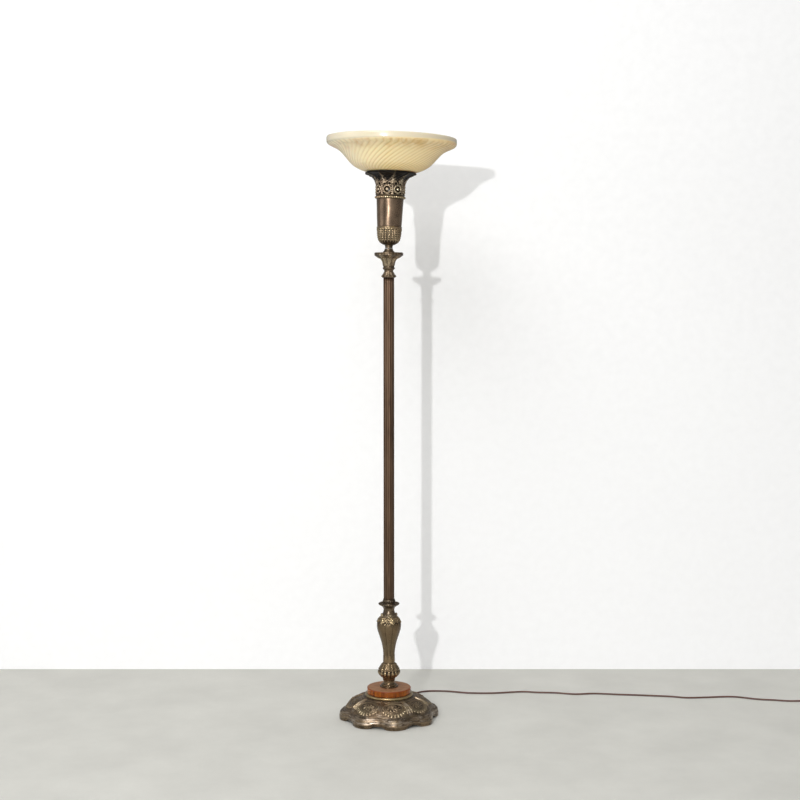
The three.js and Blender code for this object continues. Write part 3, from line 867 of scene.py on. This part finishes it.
def add_crown(metal, gasket):
    rim = 217.2
    outside = profile(smooth_run([(41.9, 152), (41.4, 158), (41.2, 170), (41.8, 182), (43.2, 190),
        (45.4, 196.5), (48.6, 202), (53.6, 206.6), (60, 210.6), (67.5, 214), (73.4, 215.8), (75, 216.5),
        (74.6, rim)], 0.6), [(74.6, rim), (67, rim)], spacing=2)
    inside = profile([(67, rim), (58, 213.5), (46, 204.5), (41, 188), (38.6, 170), (39.3, 152)],
        spacing=8)[1:]
    crown = relief_ring("pierced_crown", "crown", metal, outside, inside, 480, crown_relief, place=HEAD)
    # The flare under the bowl is painted near black: painted shade beneath the glass, with dark patina
    flare_z = height_on_head(197)
    paint(crown, "painted_shade_and_patina", lambda x, y, z: between(z, flare_z - 5, flare_z + 4))
    plate = smooth_run([(73.6, 217.5), (74.8, 217.9), (75, 218.4), (74.4, 219)], 0.3)
    relief_ring("shade_plate", "shade_seat_plate", metal, plate, bore(219, 217.5, 50), 192, place=HEAD)
    ring = smooth_run([(69.2, 219.3), (70, 219.9), (70, 220.8), (69.2, 221.4)], 0.4)
    relief_ring("felt_gasket", "shade_gasket", gasket, ring, bore(221.4, 219.3, 56), 160, place=HEAD)


# Glass bowl

def add_shade(glass):
    bowl = smooth_run([(46, 221.7), (60, 221.7), (72, 222), (84, 225), (94, 229), (104, 234), (113, 240),
        (119, 245.6), (124.5, 251), (134.5, 262.6), (145, 274), (151.5, 280), (159, 285), (167.5, 289.6),
        (178, 294.2), (186.5, 299), (190, 303.4)], 1.3)
    lip = smooth_run(
        [(190, 303.4), (190.4, 306), (190.4, 311), (190.2, 316), (189.4, 319), (187.6, 320), (185.6, 319.4),
         (184.4, 317.2), (184, 312), (182.6, 305), (176, 300.6)], 0.9)
    inside = smooth_run([(176, 300.6), (165, 295), (155, 289.4), (140, 277), (124, 260), (108, 245),
        (90, 234.6), (70, 228), (56, 226.8), (46, 226.6)], 2.2)
    ribs = 54
    outside = profile(bowl, lip)
    bowl_path = np.concatenate([[0], np.cumsum(np.linalg.norm(np.diff(bowl, axis=0), axis=1))])
    share_at = bowl_path / bowl_path[-1]

    def swirl(angle, radius, height):
        share = np.ones(radius.shape[1])
        share[:len(share_at)] = share_at
        start, end = 0.12, 0.88
        steady = np.clip((share - start) / (end - start), 0, 1)
        twist = math.radians(50) * (0.6 * steady + 0.4 * between(share, start, end))
        fade = between(share, start, 0.22) * np.where(np.arange(len(share)) < len(share_at), 1, 0)
        fade = fade * between(-share, -1.0, -0.955)
        wave = sector(angle - twist[None, :], ribs)
        crest = np.cos(wave * math.pi) ** 0.9
        return (crest - 0.75) * 0.9 * fade[None, :]

    shade = relief_ring("ribbed_glass_bowl", "glass_shade", glass, outside, inside[1:-1], 864, swirl,
        place=HEAD, body="shade")
    low_z = height_on_head(222)
    paint(shade, "low", lambda x, y, z: between(-z, -low_z - 26, -low_z - 4))
    rim_z = height_on_head(303)
    paint(shade, "amber", lambda x, y, z: band(z, rim_z - 34, rim_z - 10, rim_z - 3, rim_z))
    paint(shade, "lip", lambda x, y, z: between(z, rim_z - 2, rim_z + 2))


# Socket, bulb and switch

def add_socket(brass, porcelain):
    cap = smooth_run([(12, 128), (14.5, 129), (20, 131.4), (24.4, 134), (26.6, 137), (26.9, 141)], 0.8)
    relief_ring("socket_base", "socket_cap", brass, cap, bore(141, 128), 96, place=HEAD)
    shell = smooth_run(
        [(26.6, 141.3), (27, 142.4), (26.9, 150), (26.9, 160), (26.9, 190), (26.9, 199), (27, 201.8),
         (26.4, 203)], 0.9)

    def knurl(angle, radius, height):
        crests = ridge(height - 148, 1.2) + ridge(height - 156, 1.2)
        return 0.25 * crests - 0.3 * ridge(height - 152, 0.9)

    relief_ring("socket_sleeve", "socket_shell", brass, shell, bore(203, 141.3, 25.5), 128, knurl, place=HEAD)
    body = profile([(25, 143), (25, 158.6), (24, 160), (3, 160)], spacing=1.5)
    relief_ring("socket_porcelain", "socket_insulator", porcelain, body, bore(156, 143, 3), 96, place=HEAD)

    thread = profile([(21.6, 160.3), (21.6, 199)], spacing=0.8)

    def turns(angle, radius, height):
        return 0.4 * np.cos((height / THREAD_PITCH - angle / TAU) * TAU)

    relief_ring("screw_sleeve", "screw_liner", brass, thread, bore(199, 160.3, 20.4), 96, turns, place=HEAD)
    contact = profile([(3.9, 160.3), (3.9, 161.8), (2.5, 162.5), (0.2, 162.5)], spacing=0.6)
    relief_ring("socket_contact", "center_contact", brass, contact, np.array([(0.2, 160.3)]), 32, place=HEAD)


def add_bulb(brass, glass, steel):
    skirt = profile(
        [(6, 166.3), (11.5, 168), (18.6, 171)],
        smooth_run([(18.6, 171), (18.9, 173), (18.9, 194), (18.6, 196)], 0.7), spacing=1.2)

    def thread(angle, radius, height):
        return 0.45 * np.cos((height / THREAD_PITCH - angle / TAU) * TAU) * band(height, 172, 175, 191, 194)

    inside = np.array([(17.9, 196), (17.9, 173), (11.5, 169.3), (5.5, 167.8)])
    relief_ring("bulb_screw_cap", "bulb_cap", brass, skirt, inside, 96, thread, place=HEAD, body="bulb")
    tip = profile([(4.9, 162.9), (4.9, 164.5), (3.4, 166), (0.2, 166)], spacing=0.6)
    relief_ring("bulb_tip", "bulb_contact", steel, tip, np.array([(0.2, 162.8)]), 32, place=HEAD, body="bulb")
    outer = smooth_run([(17.2, 176), (17.2, 186), (17.2, 198), (17.8, 206), (19.4, 214), (22.6, 225),
        (27.4, 238), (31.6, 250), (33.8, 262), (33.4, 274), (30.2, 284.6), (24, 292.6), (15, 298), (7, 299.8),
        (0.3, 300)], 1.5)
    inner = smooth_run([(0.3, 299), (14, 297), (23, 291.6), (32.4, 273), (32.8, 262), (26.4, 238),
        (18.4, 214), (16.2, 198), (16.2, 176)], 3)
    relief_ring("bulb_envelope", "bulb_glass", glass, outer, inner, 96, place=HEAD, body="bulb")


def add_switch(plastic, steel):
    facing_back = HEAD @ Matrix.Translation((0, 0, 172 * MM)) @ Matrix.Rotation(-math.pi / 2, 4, "X")
    box_low, box_high = 27.4, 35
    shell = smooth_run([(5.6, box_low), (6, box_low + 0.8), (6, box_high - 1), (5.2, box_high)], 0.5)
    relief_ring("switch_body", "switch_housing", plastic, shell, bore(box_high, box_low, 2.6), 48,
        place=facing_back)
    rod = profile([(2.2, 35.3), (2.2, 49.6), (1.6, 50.2), (0.2, 50.2)], spacing=1)
    relief_ring("switch_spindle", "switch_shaft", steel, rod, np.array([(0.2, 35.3)]), 32, place=facing_back,
        body="switch")
    knob = smooth_run([(6.2, 46), (6.8, 46.6), (7.2, 48.4), (7.3, 52), (7, 55.6), (5.8, 57.6), (3, 58),
        (0.3, 58)], 0.35)

    def grip(angle, radius, height):
        ribs = 0.35 * np.cos(18 * angle) * band(height, 47.5, 49, 55, 56.5)
        return ribs - 0.7 * ridge(radius * np.cos(angle), 0.5) * between(height, 57.2, 57.8)

    inside = np.array([(0.3, 50.5), (2.5, 50.5), (2.5, 46)])
    relief_ring("switch_turn_knob", "switch_knob", plastic, knob, inside, 180, grip, place=facing_back,
        body="switch")


# Bushing and plug

def add_bushing(rubber):
    """The strain relief where the cord leaves the base."""
    turned = Matrix.Rotation(CORD_ANGLE, 4, "Z") @ Matrix.Rotation(math.pi / 2, 4, "X")
    facing = Matrix.Translation((0, 0, CORD_EXIT_Z * MM)) @ turned
    grip = profile([(4.4, 125), (4.4, 138.5)], smooth_run(
        [(5, 138.8), (7.2, 138.9), (7.5, 140), (7.2, 141), (5.4, 141.6), (5, 143)], 0.3), spacing=1.5)
    sleeve = profile([(5, 143), (3.7, 165.4), (3.2, 166)], spacing=0.55)

    def rings(angle, radius, height):
        fade = band(height, 143, 145, 163, 165)
        return -0.55 * np.clip(np.cos(height * TAU / 4), 0, 1) ** 2 * fade

    whole = profile(grip, sleeve)
    relief_ring("cord_strain_relief", "cord_bushing", rubber, whole, bore(166, 125, 2.62), 64, rings,
        place=facing)


def rounded_slab(name, node, material, radius, cuts):
    """A box with rounded edges in the place of its node."""
    low, high = (np.array(corner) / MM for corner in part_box(node))
    half, middle = (high - low) / 2, (high + low) / 2
    u, v = np.meshgrid(np.linspace(-1, 1, cuts), np.linspace(-1, 1, cuts), indexing="ij")
    points, quads = [], []
    for axis in range(3):
        for side in (-1, 1):
            face = np.zeros((cuts, cuts, 3))
            face[..., axis] = side
            face[..., (axis + 1) % 3] = u * side
            face[..., (axis + 2) % 3] = v
            grid = len(points) * cuts * cuts + np.arange(cuts * cuts).reshape(cuts, cuts)
            points.append(face.reshape(-1, 3))
            corners = [grid[:-1, :-1], grid[1:, :-1], grid[1:, 1:], grid[:-1, 1:]]
            quads.append(np.stack(corners, axis=-1).reshape(-1, 4))
    cube = np.vstack(points) * half
    core = np.clip(cube, -(half - radius), half - radius)
    away = cube - core
    size = np.linalg.norm(away, axis=1)[:, None]
    rounded = np.where(size > 1e-9, core + away / np.maximum(size, 1e-9) * np.minimum(size, radius), cube)
    points, quads = weld(rounded + middle, np.vstack(quads))
    return new_mesh(name, node, material, points, quads)


def weld(points, quads):
    """Makes one point of the points that share a place."""
    _, first, inverse = np.unique(np.round(points, 4), axis=0, return_index=True, return_inverse=True)
    return points[first], inverse.reshape(-1)[quads]


def add_plug(plastic, steel):
    return [
        rounded_slab("plug_moulding", "plug_body", plastic, 3.6, 14),
        rounded_slab("plug_prong_left_blade", "plug_prong_left", steel, 0.6, 6),
        rounded_slab("plug_prong_right_blade", "plug_prong_right", steel, 0.6, 6),
    ]


# Assembly, light and ground

def add_lamp(cord):
    brass = aged_metal("aged_brass", (0.028, 0.02, 0.014), (0.205, 0.15, 0.102), (0.52, 0.415, 0.3),
        rough=(0.2, 0.42))
    lustre = aged_metal("lustrous_brass", (0.03, 0.02, 0.012), (0.232, 0.162, 0.096), (0.44, 0.32, 0.195),
        -0.9, 2.0, rough=(0.14, 0.3), clouds=0.07, dents=0.25)
    copper = aged_metal("coppery_brass", (0.022, 0.015, 0.011), (0.29, 0.208, 0.145), (0.55, 0.43, 0.3), -0.9,
        1.6, rough=(0.15, 0.3), clouds=0.1, tints=((1.0, 0.94, 0.88), (1.0, 0.97, 0.93)), dents=0.35)
    chased = aged_metal("chased_brass", (0.03, 0.021, 0.014), (0.25, 0.178, 0.115), (0.62, 0.485, 0.325),
        -0.5, 1.3, rough=(0.16, 0.42), clouds=0.1, dents=0.5)
    # The crown's brass, blackened on its flare by painted shade and dark patina
    pierced = aged_metal("pierced_brass", (0.008, 0.006, 0.004), (0.29, 0.21, 0.15), (0.76, 0.63, 0.49), 0.0,
        2.7, rough=(0.14, 0.5), clouds=0.08, painted_shade_and_patina="painted_shade_and_patina", dents=0.4)
    # The base's brass, with pale streaks of rubbing and painted sheen on its skirt and spokes
    worn = aged_metal("worn_brass_and_sheen", (0.045, 0.032, 0.022), (0.23, 0.165, 0.108), (0.38, 0.295, 0.2),
        rough=(0.27, 0.44), wear_and_sheen="wear_and_sheen")
    bright = aged_metal("bright_brass", (0.13, 0.095, 0.05), (0.4, 0.305, 0.17), (0.72, 0.58, 0.36), -0.9,
        1.0, rough=(0.2, 0.36), clouds=0.15)
    # Colour, roughness, metallic, grains in a metre, depth of grain, spread of colour
    plastic = plain_material("black_plastic", (0.012, 0.011, 0.01), 0.42, 0, 300, 0.0002, 0.2)
    rubber = plain_material("black_rubber", (0.02, 0.019, 0.018), 0.62, 0, 240, 0.0003, 0.25)
    steel = plain_material("steel", (0.55, 0.55, 0.54), 0.3, 1, 220, 0.0001, 0.15)
    porcelain = plain_material("porcelain", (0.72, 0.69, 0.62), 0.25, 0, 60, 0.0001, 0.08)
    vinyl = plain_material("brown_cord", (0.115, 0.052, 0.04), 0.42, 0, 160, 0.0002, 0.2)
    bulb_glass = plain_material("frosted_glass", (0.86, 0.85, 0.82), 0.35, 0, 40, 0.0001, 0.03)
    dress(cord, vinyl)
    add_plug(plastic, steel)
    add_base(worn)
    add_seat(bright, amber_wood())
    add_foot(lustre)
    add_knop(lustre)
    add_vase(lustre)
    add_cap(brass)
    add_collar(brass)
    add_column(brown_patina())
    add_capital(brass)
    add_stem(brass)
    add_urn(copper, chased)
    add_crown(pierced, rubber)
    add_shade(cream_glass())
    add_socket(bright, porcelain)
    add_bulb(bright, bulb_glass, steel)
    add_switch(plastic, steel)
    add_bushing(rubber)
    iron = plain_material("iron", (0.09, 0.085, 0.08), 0.6, 0.9, 90, 0.0004, 0.3)
    dress(frame["nodes"]["base_weight"], iron)
    for name in ("base_washer", "base_nut", "center_pipe", "head_pipe", "head_locknut", "column_lower_plug",
                 "column_upper_plug"):
        dress(frame["nodes"][name], steel)
    dress(frame["nodes"]["inner_lead"], vinyl)


def flat_sheet(name, corners, material):
    mesh = bpy.data.meshes.new(name)
    mesh.from_pydata(corners, [], [(0, 1, 2, 3)])
    sheet = add_object(name, mesh)
    dress(sheet, material)


def add_room():
    """A pale stone floor that meets a white wall a little way behind the lamp."""
    left, right, front, back, top = -7, 8, -9, WALL_Y, 4.5
    nodes = Nodes("pale_stone")
    fine = nodes.noise(300, 4, 0.6)
    cloud = nodes.noise(4, 6, 0.62)
    worn = nodes.sum(nodes.swing(fine, 0.07), cloud)
    color = nodes.ramp(worn, (0.3, (0.56, 0.555, 0.515)), (0.7, (0.635, 0.63, 0.585)))
    stone = nodes.finish(Base_Color=color, Roughness=0.7, Normal=nodes.bump(fine, 0.0006, 0.3))
    flat_sheet("floor", [(left, front, 0), (right, front, 0), (right, back, 0), (left, back, 0)], stone)
    nodes = Nodes("white_wall")
    paint_grain = nodes.noise(35, 3, 0.5)
    color = nodes.ramp(paint_grain, (0.3, (0.885, 0.885, 0.89)), (0.7, (0.91, 0.91, 0.915)))
    # Painted light: the wall gives off a faint glow, strongest near the floor
    painted_glow_near_floor = nodes.spread(nodes.coordinate("Z"), 0.0, 1.5, 0.085, 0.02)
    # Painted reflection: seen in reflections the wall turns dark grey, so the metal mirrors a dark room there
    mirrored = nodes.add("ShaderNodeLightPath").outputs["Is Glossy Ray"]
    color = nodes.mix(mirrored, color, (0.22, 0.215, 0.21))
    white = nodes.finish(
        Base_Color=color, Roughness=0.9, Emission_Color=(0.97, 0.98, 1.0), Emission_Strength=painted_glow_near_floor)
    # Seen from behind the wall is clear, so that it never stands between the lamp and the eye
    behind = nodes.add("ShaderNodeNewGeometry").outputs["Backfacing"]
    clear = nodes.add("ShaderNodeBsdfTransparent").outputs[0]
    nodes.either(behind, nodes.tree.nodes["Principled BSDF"].outputs[0], clear, "Material Output")
    flat_sheet("wall", [(left, back, 0), (right, back, 0), (right, back, top), (left, back, top)], white)


def area_light(name, place, target, size, power, color=(1, 1, 1)):
    lamp = bpy.data.lights.new(name, "AREA")
    lamp.shape = "RECTANGLE"
    lamp.size, lamp.size_y = size
    lamp.energy = power
    lamp.color = color
    light = add_object(name, lamp)
    light.location = place
    light.rotation_euler = (Vector(target) - Vector(place)).to_track_quat("-Z", "Y").to_euler()


def add_light():
    """A white room, with a small hard lamp in front on the left that throws the shadow on the wall."""
    world = bpy.data.worlds.new("room")
    bpy.context.scene.world = world
    nodes = Nodes("room", world)
    room = nodes.tree.nodes["Background"]
    across = nodes.coordinate("X", nodes.add("ShaderNodeTexCoord").outputs["Generated"])
    shares = (
        (0.0, 1.3), (0.06, 1.1), (0.09, 0.3), (0.19, 0.3), (0.25, 0.8), (0.4, 1.35), (0.5, 1.35), (0.6, 0.8),
        (0.74, 0.55), (1.0, 0.28))
    grays = [(position, (share, share, share)) for position, share in shares]
    nodes.link(nodes.ramp(nodes.spread(across, -1, 1), *grays), room.inputs["Color"])
    nodes.fill(room, Strength=0.76)
    shown = nodes.add("ShaderNodeBackground")
    nodes.fill(shown, Strength=0.95, Color=(1, 1, 1, 1))
    seen = nodes.add("ShaderNodeLightPath").outputs["Is Camera Ray"]
    nodes.either(seen, room.outputs[0], shown.outputs[0], "World Output")
    area_light("key", (-1.3, -5.8, 2.1), (0, 0, 0.9), (0.1, 0.1), 124)
    area_light("soft_key", (-1.25, -5.0, 2.3), (0, 0, 0.9), (0.8, 1.2), 7, (1.0, 0.985, 0.96))
    area_light("ceiling", (-1.0, -2.2, 3.7), (0.1, -0.1, 0.3), (2.0, 1.6), 44)
    bpy.context.scene.view_settings.view_transform = "Standard"


# Run

add_camera()
add_lamp(add_cord())
add_room()
add_light()
